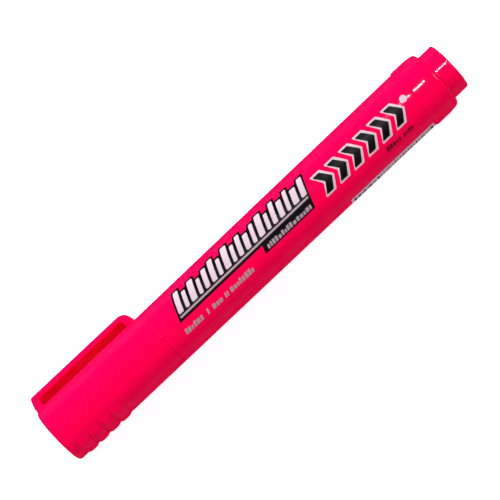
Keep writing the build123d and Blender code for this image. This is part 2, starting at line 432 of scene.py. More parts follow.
def inkedFelt():
    # Bonded polyester fibres, drawn along the nib and soaked with pink ink: matt, faintly streaked.
    # The real fibres are 0.02 mm thick, so they are drawn ten times as coarse to show.
    material, tree = blankMaterial("inkedFelt")
    place = addNode(tree, "ShaderNodeTexCoord").outputs["Object"]
    drawn = addNode(tree, "ShaderNodeMapping", {"Vector": place, "Scale": (0.12, 1.0, 1.0)})
    fibres = addNode(
        tree,
        "ShaderNodeTexNoise",
        {
            "Vector": drawn.outputs["Vector"],
            "Scale": perMillimetre(felt["fibre"]),
            "Detail": 5,
            "Roughness": 0.65,
        },
    )
    soak = addNode(
        tree,
        "ShaderNodeMapRange",
        {"Value": fibres.outputs["Fac"], "From Min": 0.3, "From Max": 0.7},
    )
    colour = addNode(
        tree,
        "ShaderNodeMix",
        {0: soak.outputs["Result"], 6: shade(felt["deep"]), 7: shade(felt["light"])},
        data_type="RGBA",
    )
    surface = addNode(
        tree,
        "ShaderNodeBump",
        {"Height": fibres.outputs["Fac"], "Strength": 0.5, "Distance": 0.00008},
    )
    shader = addNode(
        tree,
        "ShaderNodeBsdfPrincipled",
        {
            "Base Color": colour.outputs[2],
            "Roughness": 0.85,
            "Normal": surface.outputs["Normal"],
            "IOR": 1.5,
            "Specular IOR Level": 0.3,
            "Sheen Weight": 0.3,
            "Sheen Roughness": 0.5,
            # painted glow: a fixed pink emission standing in for the ink's fluorescence, lighting the nib
            # under any lamp
            "Emission Color": shade(felt["paintedGlow"]),
            "Emission Strength": felt["paintedGlowStrength"],
        },
    )
    addNode(tree, "ShaderNodeOutputMaterial", {"Surface": shader.outputs["BSDF"]})
    return material


print("materials: moulded plastics, felt, film and inks")

materials = {
    "pink": fluorescentPolypropylene(),
    # Natural polyethylene, moulded: milky and waxy, with a soft sheen.
    "seal": plainPolymer("mouldedPolyethylene", "#CFCAC6", "#C4BEB9", 0.42, 0.6, 0.08, 0.3),
    "holder": stainedPolypropylene(),
    "felt": inkedFelt(),
    # Clear film shrunk onto the inked fibres: a glossy skin that takes on a pale pink.
    "film": plainPolymer("shrunkPolypropyleneFilm", "#F7D9E3", "#F2C6D5", 0.15, 0.8, 0.05),
    "whiteInk": padPrintedInk("padPrintedWhiteInk", "#C2AEB9", "#B5A1AC", 0.42),  # pink shows through
    "paleInk": padPrintedInk("padPrintedPaleInk", "#A38D98", "#957F8A", 0.42),  # the same over black
    "blackInk": padPrintedInk("padPrintedBlackInk", "#0D0B0C", "#050405", 0.38),  # dense, some sheen
    "greyInk": padPrintedInk("padPrintedGreyInk", "#A08F96", "#8C7C83", 0.45),  # a thin worn white
    "darkInk": padPrintedInk("padPrintedDarkInk", "#6A0012", "#54000E", 0.45),  # black worn to deep red
}

# Cap

cap = {
    "draft": 0.10,
    "endRound": 1.0,
    "boreRadius": 6.85,
    "endWall": 1.5,
    "floorRound": 0.4,
    "mouthRound": 0.08,
    "mouthBevel": (0.3, 0.45),  # along the bore and across the rim
    "gripFirst": 4.75,
    "gripPitch": 3.68,
    "gripCount": 4,
    "gripHeight": 0.41,  # crests of the grip, above the plain cap
    "gripDepth": 0.22,  # and the notches between them, below it
    "gripHalfAngle": radians(19),
    "gripFade": radians(15),
    "gripMargin": 0.76,  # pitches past the outer crests, to where the grip is gone
    "gripRings": 110,
    "gateRecess": (1.7, 0.25),  # radius and depth of the dimple at the closed end
    "gate": (0.55, 0.14),  # radius and height of the trimmed gate in it
    "snapGroove": (3.2, 1.5, 0.1),  # its middle from the mouth, half its width, its depth
    "ribs": (6, 1.0),  # count and thickness of the ribs that hold the inner cap
    "segments": 224,
}


def capRadiusAt(x):  # the cap's outside, with its slight draft and its rounded closed end
    radius = pen["frontRadius"] - cap["draft"] * (1 - x / pen["capLength"])
    if x < cap["endRound"]:
        radius -= cap["endRound"] - sqrt(max(0, cap["endRound"] ** 2 - (cap["endRound"] - x) ** 2))
    return radius


def smooth(share):  # from 0 to 1 with no corners
    share = min(1, max(0, share))
    return share * share * (3 - 2 * share)


def gripSwell(x, angle):
    # How far the grip stands out: broad soft bars with narrow notches between, opposite the clip.
    nearest = round((x - cap["gripFirst"]) / cap["gripPitch"])
    nearest = min(cap["gripCount"] - 1, max(0, nearest))
    away = abs(x - cap["gripFirst"] - nearest * cap["gripPitch"]) / (cap["gripPitch"] / 2)
    inPitch = min(1, away)
    rise = cap["gripHeight"] * (1 - inPitch**3) - cap["gripDepth"] * inPitch**6  # wide crest, narrow notch
    rise *= 1 - smooth((away - 1) / 0.5)
    return rise * smooth((cap["gripHalfAngle"] + cap["gripFade"] - abs(angle - pi)) / cap["gripFade"])


def makeCap():
    end, mouth = 0.0, pen["capLength"]
    bore = cap["boreRadius"]
    recess, recessDepth = cap["gateRecess"]
    gate, gateHeight = cap["gate"]
    bevelDepth, bevelWidth = cap["mouthBevel"]
    grooveMiddle, grooveHalf, grooveDepth = cap["snapGroove"]
    ribCount, ribThickness = cap["ribs"]
    gripStart = cap["gripFirst"] - cap["gripPitch"] * cap["gripMargin"]
    gripEnd = cap["gripFirst"] + cap["gripPitch"] * (cap["gripCount"] - 1 + cap["gripMargin"])
    gripPlaces = spread(gripStart, gripEnd, cap["gripRings"])
    face = softened([
        (end + recessDepth - gateHeight, 0),
        (end + recessDepth - gateHeight, gate, 0.08),
        (end + recessDepth, gate + 0.1, 0.05),
        (end + recessDepth, recess - 0.15, 0.1),
        (end, recess, 0.12),
        (end, capRadiusAt(cap["endRound"]), cap["endRound"]),
        (gripStart - 0.1, capRadiusAt(gripStart - 0.1)),
    ], steps=8)
    mouthEdge = softened([
        (mouth - 10, capRadiusAt(mouth - 10)),
        (mouth, pen["frontRadius"], cap["mouthRound"]),
        (mouth, bore + bevelWidth),
        (mouth - bevelDepth, bore),
        (mouth - grooveMiddle + grooveHalf, bore),
        (mouth - grooveMiddle, bore + grooveDepth),
        (mouth - grooveMiddle - grooveHalf, bore),
        (cap["endWall"], bore, cap["floorRound"]),
        (cap["endWall"], 0),
    ])
    rings = turned(face, cap["segments"])
    rings += [circle(x, capRadiusAt(x), cap["segments"], gripSwell) for x in gripPlaces]
    rings += turned(mouthEdge, cap["segments"])
    innerRibs = {
        "start": cap["endWall"] - 0.1,
        "end": reach("inner_cap")[1] - 1,
        "inner": innerCap["outerRadius"],
        "outer": bore + 0.1,
        "count": ribCount,
        "thickness": ribThickness,
    }
    mesh = skinned("capShell", rings, plates=[innerRibs])
    finishedPiece("capShell", mesh, materials["pink"], "cap", "cap_shell")


# Inner cap

innerCap = {
    "outerRadius": 4.92,
    "boreRadius": 4.172,
    "lipRadius": 4.022,
    "floor": 0.8,
    "flange": 1.0,
    "flangeRadius": 6.83,
    "leadIn": 0.6,  # the funnel at the rear, and then the lip that seals
    "lip": 1.0,
    "edgeRound": 0.2,
    "softRound": 0.3,
}


def makeInnerCap():
    front, rear = reach("inner_cap")
    bore, flangeRadius = innerCap["boreRadius"], innerCap["flangeRadius"]
    lip, edge, soft = innerCap["lipRadius"], innerCap["edgeRound"], innerCap["softRound"]
    lipRear = rear - innerCap["leadIn"]
    lipFront = lipRear - innerCap["lip"]
    outline = softened([
        (front, 0),
        (front, innerCap["outerRadius"], soft),
        (rear - innerCap["flange"], innerCap["outerRadius"], edge),
        (rear - innerCap["flange"], flangeRadius, edge),
        (rear, flangeRadius, 0.25),
        (rear, bore + innerCap["leadIn"], 0.35),
        (lipRear, lip, soft),
        (lipFront, lip, soft),
        (lipFront - innerCap["lip"], bore, soft),
        (front + innerCap["floor"], bore, 0.6),
        (front + innerCap["floor"], 0),
    ])
    mesh = skinned("innerCap", turned(outline))
    finishedPiece("innerCap", mesh, materials["seal"], "cap", "inner_cap")


# Pocket clip: one moulding with the cap, so its root stands on the cap. The real arm bends at the hinge; here
# it is drawn at rest and follows no body

clip = {
    "halfWidth": 3.2,
    "innerHeight": 9.95,
    "thickness": 1.70,
    "rootSetback": 0.06,
    "rootSlope": radians(16),
    "footLength": 2.3,
    "footClearance": 0.15,
    "rootRound": 0.9,
    "tipRound": 2.6,
    "insideRound": 0.7,
    "tipDrop": 0.22,  # how much the outer face falls away over the foot
    "edgeRound": 0.4,
    "rootFillet": 0.5,
    "filletSpread": 0.8,  # how far the fillet goes along the pen, as a share of its height
    "bendLength": 11.0,  # how much of the arm bends when the foot is lifted
    "soleRound": 0.3,
    "overFillet": 0.15,  # from the fillet to the first section of the root
    "nearestEnd": 0.04,  # the least distance from the cap's closed end
    "sunk": 0.4,  # how deep the root's foot is buried in the cap
    "stations": (3, 8, 40),  # on each upright, round each corner and along the arm
    "sectionStep": 0.45,
}


def clipStations(corners, counts):
    # Points along one edge of the clip's side view: straight, arc, straight, arc, straight.
    arcs = softened(corners, steps=counts[1])
    first, turns, last = arcs[0], arcs[1:-1], arcs[-1]
    rootTurn, tipTurn = turns[: counts[1] + 1], turns[counts[1] + 1 :]

    def between(a, b, count):
        return [a.lerp(b, (k + 1) / (count + 1)) for k in range(count)]

    return (
        [first]
        + between(first, rootTurn[0], counts[0])
        + rootTurn
        + between(rootTurn[-1], tipTurn[0], counts[2])
        + tipTurn
        + between(tipTurn[-1], last, counts[0])
        + [last]
    )


def clipSection(outer, inner, crown):
    # A rounded rectangle across the clip, from its inner to its outer edge in the side view.
    halfWidth, rounding = clip["halfWidth"], clip["edgeRound"]
    thickness = (outer - inner).length
    corners = [(-halfWidth, 0, rounding), (halfWidth, 0, rounding)]
    corners += [(halfWidth, thickness, rounding), (-halfWidth, thickness, rounding)]
    points = softened(corners, closed=True, steps=4)
    dense = []
    for a, b in zip(points, points[1:] + points[:1]):
        pieces = max(1, round((b - a).length / clip["sectionStep"]))
        dense += [a.lerp(b, k / pieces) for k in range(pieces)]
    ring = []
    for y, depth in dense:
        share = depth / thickness
        lift = crown * share * (1 - (y / halfWidth) ** 2)
        along = inner.lerp(outer, share) + (outer - inner).normalized() * lift
        ring.append(Vector((along.x, y, along.y)))
    return ring


def onCap(point, height):  # the point above or below, at a height over the cap's surface
    radius = capRadiusAt(point.x) + height
    return Vector((point.x, point.y, sqrt(radius**2 - point.y**2)))


def scaledRing(ring, growX, growY):  # the ring grown by these distances on each side
    middle = (min(p.x for p in ring) + max(p.x for p in ring)) / 2
    halfX = (max(p.x for p in ring) - min(p.x for p in ring)) / 2
    wider, longer = 1 + growY / clip["halfWidth"], 1 + growX / halfX
    grown = []
    for p in ring:
        x = max(clip["nearestEnd"], middle + (p.x - middle) * longer)
        grown.append(Vector((x, p.y * wider, p.z)))
    return grown


def makeClip():
    root, tip = hingePoint.x, reach("pocket_clip")[1]
    innerHeight = clip["innerHeight"]
    outerHeight = innerHeight + clip["thickness"]
    crown = hingePoint.z - outerHeight
    base = pen["frontRadius"] + clip["rootFillet"] + clip["overFillet"]
    lean = tan(clip["rootSlope"])
    foot = tip - clip["footLength"]
    ground = pen["frontRadius"] + clip["footClearance"] + clip["soleRound"]
    surface = capRadiusAt(clip["rootSetback"] + 1)
    outerLine = [
        (clip["rootSetback"] + (base - surface) * lean, base),
        (clip["rootSetback"] + (outerHeight - surface) * lean, outerHeight, clip["rootRound"]),
        (tip - 0.25, outerHeight - clip["tipDrop"], clip["tipRound"]),
        (tip, ground),
    ]
    innerLine = [
        (root, base),
        (root, innerHeight, clip["insideRound"]),
        (foot, innerHeight, clip["insideRound"]),
        (foot, ground),
    ]
    pairs = list(zip(clipStations(outerLine, clip["stations"]), clipStations(innerLine, clip["stations"])))
    rings = []
    for k, (outer, inner) in enumerate(pairs):  # the crown rises over ten stations from each end
        fromRoot, fromTip = k / 10, (len(pairs) - 1 - k) / 10
        rings.append(clipSection(outer, inner, crown * min(1, fromRoot, fromTip + 0.3)))
    fillet = clip["rootFillet"]
    skirt = []
    for angle in spread(0, pi / 2, 7):
        grow = fillet * (1 - sin(angle))
        height = fillet * (1 - cos(angle))
        skirt.append([onCap(p, height) for p in scaledRing(rings[0], grow * clip["filletSpread"], grow)])
    widest = scaledRing(rings[0], fillet * clip["filletSpread"], fillet)
    sunk = [onCap(p, -clip["sunk"]) for p in widest]
    sunkMiddle = [Vector((sum(p.x for p in sunk) / len(sunk), 0, sunk[0].z))]
    ending = []
    rounding = clip["soleRound"]
    for angle in spread(0, pi / 2, 5):
        grow = -rounding * (1 - cos(angle))
        height = clip["footClearance"] + rounding * (1 - sin(angle))
        ending.append([onCap(p, height) for p in scaledRing(rings[-1], grow, grow)])
    sole = ending[-1]
    middle = sum(p.x for p in ending[0]) / len(ending[0])
    for share in (0.75, 0.45, 0.15):  # the sole closes in, and follows the cap's round surface
        scaled = [Vector((middle + (p.x - middle) * share, p.y * share, p.z)) for p in sole]
        ending.append([onCap(p, clip["footClearance"]) for p in scaled])
    last = sum(p.x for p in ending[-1]) / len(ending[-1])
    soleMiddle = [onCap(Vector((last, 0, 0)), clip["footClearance"])]
    mesh = skinned("pocketClip", [sunkMiddle, sunk] + skirt + rings + ending + [soleMiddle])
    piece = finishedPiece("pocketClip", mesh, materials["pink"], None, "pocket_clip", 50)
    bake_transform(piece)


# Barrel

barrel = {
    "frontRound": 0.08,
    "rearRound": 0.04,
    "ringCount": 40,
    "ribCount": 6,
    "ribThickness": 0.8,
    "ribClearance": 0.05,  # between the ribs and the reservoir
}


def barrelRadiusAt(x):
    share = (x - pen["barrelFront"]) / (pen["barrelRear"] - pen["barrelFront"])
    return pen["frontRadius"] + share * (pen["rearRadius"] - pen["frontRadius"])


def makeBarrel():
    front, rear = pen["barrelFront"], pen["barrelRear"]
    bore = pen["boreRadius"]
    outline = softened(
        [
            (front, bore),
            (front, pen["frontRadius"], barrel["frontRound"]),
            (rear, pen["rearRadius"], barrel["rearRound"]),
            (rear, bore),
        ],
        closed=True,
    )
    stretch = spread(front + 1, rear - 1, barrel["ringCount"])
    outside = [p for p in outline if p.y > bore + 0.1]
    turn = len(outside) // 2
    rings = [circle(front, bore)] + turned(outside[:turn])
    rings += [circle(x, barrelRadiusAt(x)) for x in stretch]
    rings += turned(outside[turn:]) + [circle(rear, bore)]
    ribs = {
        "start": reach("nib_holder")[1],
        "end": reach("rear_plug")[0],
        "inner": widestRadius("reservoir_film") + barrel["ribClearance"],
        "outer": bore + 0.2,
        "count": barrel["ribCount"],
        "thickness": barrel["ribThickness"],
    }
    mesh = skinned("barrelTube", rings, loop=True, plates=[ribs])
    finishedPiece("barrelTube", mesh, materials["pink"], "barrel", "barrel")


# Rear plug

plug = {
    "leadIn": (0.6, 0.3),  # along the pressed-in part and down from its surface
    "seamLip": 0.1,  # a step at the seam, as wide as the barrel
    "ramp": 0.6,
    "shoulder": 1.1,
    "crown": 3.0,  # where the collar starts to fall away, from the spigot
    "crownFall": 0.38,
    "spigotRoot": 0.45,
    "spigotEdge": 0.5,
    "boreRadius": 5.55,
    "endWall": 1.7,
    "floorRound": 0.5,
    "dish": (4.4, 0.5),  # radius and depth
    "gate": (0.6, 0.25),  # radius and height
    "webs": (4, 8.0, 0.9),  # count, length and thickness
}


def makeRearPlug():
    start, end = reach("rear_plug")
    seam = pen["barrelRear"]
    bore, inside = pen["boreRadius"], plug["boreRadius"]
    spigotStart = spigotMiddle - spigot["dims"]["length_mm"] / 2 - plug["spigotRoot"]
    leadLength, leadDrop = plug["leadIn"]
    dish, dishDepth = plug["dish"]
    gate, gateHeight = plug["gate"]
    webCount, webLength, webThickness = plug["webs"]
    outline = softened([
        (start, inside),
        (start, bore - leadDrop),
        (start + leadLength, bore),
        (seam, bore),
        (seam, pen["rearRadius"]),
        (seam + plug["seamLip"], pen["rearRadius"], 0.25),
        (seam + plug["ramp"], pen["collarRadius"], 0.9),
        (spigotStart - plug["crown"], pen["collarRadius"], 8),
        (spigotStart, pen["collarRadius"] - plug["crownFall"], plug["shoulder"]),
        (spigotStart, pen["spigotRadius"], plug["spigotRoot"]),
        (end, pen["spigotRadius"], plug["spigotEdge"]),
        (end, dish, 0.12),
        (end - dishDepth, dish - 0.1, 0.15),
        (end - dishDepth, gate + 0.1, 0.08),
        (end - dishDepth + gateHeight, gate, 0.08),
        (end - dishDepth + gateHeight, 0),
    ], steps=8)
    hollow = softened([
        (end - plug["endWall"], 0),
        (end - plug["endWall"], inside, plug["floorRound"]),
        (start, inside),
    ])
    webs = {
        "start": start,
        "end": start + webLength,
        "inner": 0.1,
        "outer": inside + 0.2,
        "count": webCount,
        "thickness": webThickness,
    }
    mesh = skinned("rearPlug", turned(outline + hollow), plates=[webs])
    finishedPiece("rearPlug", mesh, materials["pink"], "barrel", "rear_plug")


# Nib holder and nib

holder = {
    "noseRadius": 3.622,
    "landRadius": 3.972,
    "seatRadius": 6.75,
    "noseLength": 3.5,
    "landLength": 6.5,
    "shoulder": 2.2,
    "wall": 1.1,
    "tubeRadius": 3.47,
    "snapSetback": 3.2,
    "snapHeight": 0.05,
    "snapHalf": 0.8,  # half the bead's width
    "noseFace": 2.9,  # radius where the nose's flat face starts
    "channelMouth": ((0.25, 0.0), (0.05, 0.06), (0.0, 0.2)),  # depth in the nose and widening, for each ring
    "slip": 0.05,  # clearance to the reservoir's film
    "webs": (4, 0.9),  # count and thickness
}

nib = {
    "halfWidth": 2.5,
    "halfThickness": 1.8,
    "slant": radians(24),
    "bevel": radians(24),
    "halfEdge": 0.5,
    "tailTaper": 3.0,
    "looseFibres": 0.02,  # how far the felt's surface is uneven
    "edgeShrink": 0.88,  # the writing edge's face, as a share of the nib's section
    "segments": 96,
}


def makeNibHolder():
    nose, rear = reach("nib_holder")
    cupFront = reach("reservoir_film")[0]
    cupRadius = widestRadius("reservoir_film") + holder["slip"]
    landFront = nose + holder["noseLength"]
    landRear = landFront + holder["landLength"]
    seatFront = landRear + holder["shoulder"]
    snap = pen["barrelFront"] - holder["snapSetback"]
    hollow = seatFront + holder["wall"]
    tubeRear = cupFront - 1
    seat = holder["seatRadius"]
    bore = seat - holder["wall"]
    webCount, webThickness = holder["webs"]
    outside = softened([
        (nose, holder["noseFace"]),
        (nose, holder["noseRadius"], 0.35),
        (landFront, holder["landRadius"], 2.0),
        (landRear, holder["landRadius"], 0.7),
        (seatFront, seat, 0.7),
        (snap - holder["snapHalf"], seat),
        (snap, seat + holder["snapHeight"], 0.4),
        (snap + holder["snapHalf"], seat),
        (pen["barrelFront"], seat),
        (pen["barrelFront"], pen["boreRadius"]),
        (rear, pen["boreRadius"]),
        (rear, cupRadius),
        (cupFront, cupRadius),
        (cupFront, bore),
        (hollow, bore, 0.4),
        (hollow, holder["tubeRadius"], 0.3),
        (tubeRear, holder["tubeRadius"]),
    ], steps=8)
    halfY, halfZ = nib["halfThickness"], nib["halfWidth"]
    rings = [squircle(tubeRear, halfY, halfZ)]
    rings += [squircle(nose + depth, halfY + wider, halfZ + wider) for depth, wider in holder["channelMouth"]]
    rings += turned(outside[1:])
    webs = {
        "start": hollow - 0.1,
        "end": tubeRear,
        "inner": holder["tubeRadius"] - 0.1,
        "outer": bore + 0.1,
        "count": webCount,
        "thickness": webThickness,
    }
    mesh = skinned("nibHolder", rings, loop=True, plates=[webs])
    finishedPiece("nibHolder", mesh, materials["holder"], "barrel", "nib_holder")


def makeNib():
    tip, tail = reach("nib")
    dice = random.Random(7)
    setBack = 2 * nib["halfWidth"] * tan(nib["slant"])
    straight = tip + setBack + (nib["halfThickness"] - nib["halfEdge"]) / tan(nib["bevel"])

    def edgeAt(z):  # where the slanted writing edge is
        return tip + (nib["halfWidth"] - z) * tan(nib["slant"])

    def pointRing(share, shrink):  # a section between the writing edge and the straight part
        ring = []
        for point in squircle(0, nib["halfThickness"], nib["halfWidth"], nib["segments"]):
            z = point.z * shrink
            x = edgeAt(z) + (straight + 1 - edgeAt(z)) * share
            reachIn = (x - edgeAt(z)) * cos(nib["slant"])
            half = min(nib["halfThickness"], nib["halfEdge"] + reachIn * tan(nib["bevel"]))
            y = point.y * shrink * half / nib["halfThickness"]
            rough = nib["looseFibres"]
            ring.append(Vector((x, y + dice.uniform(-rough, rough), z + dice.uniform(-rough, rough))))
        return ring

    def straightRing(x, inset):  # a section of the nib's even part
        return squircle(x, nib["halfThickness"] - inset, nib["halfWidth"] - inset, nib["segments"])

    edge = nib["edgeShrink"]
    rings = [[Vector((edgeAt(0), 0, 0))]]
    rings += [pointRing(0.0, shrink) for shrink in (0.25, 0.5, 0.75, edge)]
    rings += [pointRing(share, edge + (1 - edge) * min(1, share / 0.06)) for share in spread(0.02, 1.0, 26)]
    rings += [straightRing(x, 0.02) for x in spread(straight + 1.5, tail - nib["tailTaper"], 20)]
    rings.append(squircle(tail, nib["halfThickness"] / 2, nib["halfWidth"] / 2, nib["segments"]))
    rings.append([Vector((tail, 0, 0))])
    mesh = skinned("feltNib", rings)
    finishedPiece("feltNib", mesh, materials["felt"], "barrel", "nib", 60)


# Ink reservoir and its film

reservoir = {
    "yarns": 44,
    "ripple": 0.03,
    "ends": ((0.0, 0.5), (0.2, 0.1)),  # how far in each ring of an end stands, along and down
    "evenFrom": 0.6,
    "ringCount": 30,
    "filmWall": 0.12,
    "filmRolled": 0.04,  # how far the film's ends are rolled in
    "filmRings": 24,
}


def makeReservoir():
    front, rear = reach("ink_reservoir")
    radius = widestRadius("ink_reservoir")

    def fibreRipple(x, angle):  # the bundle's surface shows the yarns that it is made of
        return reservoir["ripple"] * (sin(reservoir["yarns"] * angle) - 1)

    outline = [(front + along, radius - down) for along, down in reservoir["ends"]]
    even = spread(front + reservoir["evenFrom"], rear - reservoir["evenFrom"], reservoir["ringCount"])
    outline += [(x, radius) for x in even]
    outline += [(rear - along, radius - down) for along, down in reversed(reservoir["ends"])] + [(rear, 0)]
    pocket = reach("nib")[1]
    rings = [[Vector((pocket, 0, 0))], squircle(pocket, nib["halfThickness"] / 2, nib["halfWidth"] / 2)]
    rings += [squircle(x, nib["halfThickness"], nib["halfWidth"]) for x in (pocket - nib["tailTaper"], front)]
    rings += [circle(x, r, swell=fibreRipple) for x, r in outline]
    mesh = skinned("inkReservoir", rings)
    finishedPiece("inkReservoir", mesh, materials["felt"], "barrel", "ink_reservoir")


def makeFilm():
    front, rear = reach("reservoir_film")
    outer = widestRadius("reservoir_film")
    inner = outer - reservoir["filmWall"]
    end = outer - reservoir["filmRolled"]
    outline = [(front, end)] + [(x, outer) for x in spread(front + 0.3, rear - 0.3, reservoir["filmRings"])]
    outline += [(rear, end), (rear, inner), (front, inner)]
    mesh = skinned("reservoirFilm", turned(outline), loop=True)
    finishedPiece("reservoirFilm", mesh, materials["film"], "barrel", "reservoir_film")


# Printing on the barrel. Outlines are (along the pen, round from its top line towards the clip).

ink = {
    "ground": 0.03,  # millimetres that the first colour stands above the plastic
    "second": 0.05,  # and the colour printed over it
    "sunk": 0.02,  # how far it reaches into the plastic
    "roundStep": 0.5,  # its faces are no larger than this round the barrel
    "alongStep": 4.0,  # and along it
}

strokes = {
    "start": 42.5,
    "end": 85.6,
    "bottom": 1.25,
    "top": 6.9,
    "lean": tan(radians(21)),
    "gap": 0.87,
    "widths": [1.55, 1.2, 1.8, 1.15, 1.4],
    "heights": [1.0, 0.74, 0.93, 0.68, 0.86, 1.0, 0.72],  # shares of the tallest
    "narrowest": 1.0,  # no mark starts nearer to the end than this
    "lastReach": 1.6,  # a mark that comes this near to the end runs up to it
    "border": 0.6,
    "markRound": 0.3,
    "groundRound": 0.12,
    "footBar": (0.3, 0.8),  # bottom and top of the pale bar under the marks
    "tagStart": 69.6,  # the small black tag below, with a row of dashes on it
    "tagBottom": -2.55,
    "tagDashes": 1.3,
}

chevrons = {
    "start": 89.5,
    "end": 117.5,
    "count": 6,
    "bottom": -2.35,
    "top": 3.15,
    "stroke": 2.25,
    "point": 2.0,
    "border": 0.5,
    "pointGrowth": 1.2,  # the border is this much wider along the pen at a point
    "round": 0.2,
}

dash = {
    "widths": (0.45, 0.95),
    "gaps": (0.22, 0.34),
    "heights": (0.7, 0.85, 1.0),  # shares of the row's height
    "shortest": 0.3,
    "lean": 0.25,
    "round": 0.12,
}

smallPrint = {
    "groups": [(41.2, 47.5), (48.5, 49.0), (50.3, 53.6), (54.4, 55.5), (56.3, 64.1)],
    "middle": -3.0,
    "height": 1.5,
}

darkPrint = {"groups": [(107.8, 112.6), (113.3, 116.4)], "middle": -4.75, "height": 1.35}

spot = {"place": (119.2, 2.0), "radius": 0.95, "segments": 32}

panel = {
    "start": 93.0,
    "end": 121.0,
    "top": -9.2,
    "bottom": -20.0,
    "margin": 0.8,
    "round": 0.4,
    "barWidths": (0.3, 0.3, 0.5, 0.75),
    "barGaps": (0.3, 0.45, 0.6),
    "barRound": 0.05,
}


def printed(name, outlines, height, material):
    # Thin closed patches of ink that follow the barrel's round surface.
    bm = bmesh.new()
    for outline in outlines:
        patch = bm.faces.new([bm.verts.new((x, s, -ink["sunk"])) for x, s in outline])
        patch.normal_update()
    bmesh.ops.triangulate(bm, faces=bm.faces[:])
    for axis, step in ((0, ink["alongStep"]), (1, ink["roundStep"])):
        places = [vert.co[axis] for vert in bm.verts]
        normal = Vector((1 - axis, axis, 0))
        cut = min(places) + step
        while cut < max(places):
            everything = bm.verts[:] + bm.edges[:] + bm.faces[:]
            bmesh.ops.bisect_plane(bm, geom=everything, dist=0.02, plane_co=normal * cut, plane_no=normal)
            cut += step
    raised = bmesh.ops.extrude_face_region(bm, geom=bm.faces[:])["geom"]
    for part in raised:
        if isinstance(part, bmesh.types.BMVert):
            part.co.z = height
    for vert in bm.verts:
        x, s, lift = vert.co
        radius = barrelRadiusAt(x)
        angle = topAngle + s / radius
        vert.co = penToRow @ Vector((x, (radius + lift) * sin(angle), (radius + lift) * cos(angle)))
    finishedPiece(name, meshFrom(name, bm), material, "barrel", None, 45)


def leaning(left, right, bottom, top, lean, rounding):  # a bar that leans like handwriting
    corners = [
        (left + bottom * lean, bottom, rounding),
        (right + bottom * lean, bottom, rounding),
        (right + top * lean, top, rounding),
        (left + top * lean, top, rounding),
    ]
    return softened(corners, closed=True, steps=5)


def makeStrokes():
    # A run of leaning marks of mixed widths and heights on a black ground that follows their tops.
    lean, border = strokes["lean"], strokes["border"]
    height = strokes["top"] - strokes["bottom"]
    marks = []
    left = strokes["start"]
    while left < strokes["end"] - strokes["narrowest"]:
        right = left + strokes["widths"][len(marks) % len(strokes["widths"])]
        if right > strokes["end"] - strokes["lastReach"]:
            right = strokes["end"]
        share = strokes["heights"][len(marks) % len(strokes["heights"])]
        marks.append((left, right, strokes["bottom"] + height * share))
        left = right + strokes["gap"]
    white = [leaning(a, b, strokes["bottom"], top, lean, strokes["markRound"]) for a, b, top in marks]
    start, end = strokes["start"] - border, marks[-1][1] + border
    barBottom, barTop = strokes["footBar"]
    groundBottom, tagBottom = barBottom - border - 0.1, strokes["tagBottom"]
    ground = [(start, groundBottom), (strokes["tagStart"], groundBottom)]
    ground += [(strokes["tagStart"], tagBottom), (end, tagBottom)]
    noMark = strokes["tagBottom"]  # lower than any mark's top
    for i in range(len(marks) - 1, -1, -1):  # over the tops, from the rear to the front
        a, b, top = marks[i]
        later = marks[i + 1][2] if i + 1 < len(marks) else noMark
        earlier = marks[i - 1][2] if i else noMark
        ground.append((b + border if top > later else marks[i + 1][0] - border, top + border))
        ground.append((a - border if top > earlier else marks[i - 1][1] + border, top + border))
    sheared = [(x + s * lean, s, strokes["groundRound"]) for x, s in tidied(ground)]
    ground = softened(sheared, closed=True, steps=3)
    footBar = leaning(strokes["start"], marks[-1][1], barBottom, barTop, lean, 0.2)
    printed("strokeGround", [ground], ink["ground"], materials["blackInk"])
    printed("strokeMarks", white, ink["second"], materials["whiteInk"])
    tagMiddle = (tagBottom + groundBottom) / 2 - 0.05
    tag = dashes([(strokes["tagStart"] + border, end - 1.1)], tagMiddle, strokes["tagDashes"], 9)
    printed("strokeFootBar", [footBar] + tag, ink["second"], materials["paleInk"])


def tidied(corners, nearest=0.05):  # without the corners that repeat the one before
    kept = []
    for before, here in zip([corners[-1]] + corners, corners):
        if hypot(here[0] - before[0], here[1] - before[1]) > nearest:
            kept.append(here)
    return kept


def makeChevrons():
    # Plain chevrons that point to the rear.
    stroke, point = chevrons["stroke"], chevrons["point"]
    pitch = (chevrons["end"] - chevrons["start"] - point - stroke) / (chevrons["count"] - 1)
    middle = (chevrons["bottom"] + chevrons["top"]) / 2
    halfHeight = (chevrons["top"] - chevrons["bottom"]) / 2
    black, white = [], []
    for k in range(chevrons["count"]):
        left = chevrons["start"] + k * pitch
        right = left + stroke
        for outlines, grow in ((black, 0.0), (white, chevrons["border"])):
            rise = halfHeight + grow
            pointGrow = grow * chevrons["pointGrowth"]
            corners = [
                (left - grow, middle + rise),
                (left - pointGrow + point, middle),
                (left - grow, middle - rise),
                (right + grow, middle - rise),
                (right + pointGrow + point, middle),
                (right + grow, middle + rise),
            ]
            rounded = [(x, s, chevrons["round"]) for x, s in corners]
            outlines.append(softened(rounded, closed=True, steps=4))
    printed("chevronBorders", white, ink["ground"], materials["whiteInk"])
    printed("chevronMarks", black, ink["second"], materials["blackInk"])


def dashes(groups, middle, height, seed):
    # Rows of little leaning dashes, in place of small print.
    dice = random.Random(seed)
    lean, bottom = dash["lean"], middle - height / 2
    outlines = []
    for start, end in groups:
        x = start
        while x < end - dash["shortest"]:
            width = min(dice.uniform(*dash["widths"]), end - x)
            tall = height * dice.choice(dash["heights"])
            left = x - middle * lean  # leans about the row's own middle
            outlines.append(leaning(left, left + width, bottom, bottom + tall, lean, dash["round"]))
            x += width + dice.uniform(*dash["gaps"])
    return outlines


def makeSmallPrint():
    grey = dashes(smallPrint["groups"], smallPrint["middle"], smallPrint["height"], 3)
    dark = dashes(darkPrint["groups"], darkPrint["middle"], darkPrint["height"], 5)
    printed("smallDashes", grey, ink["ground"], materials["greyInk"])
    printed("darkDashes", dark, ink["ground"], materials["darkInk"])


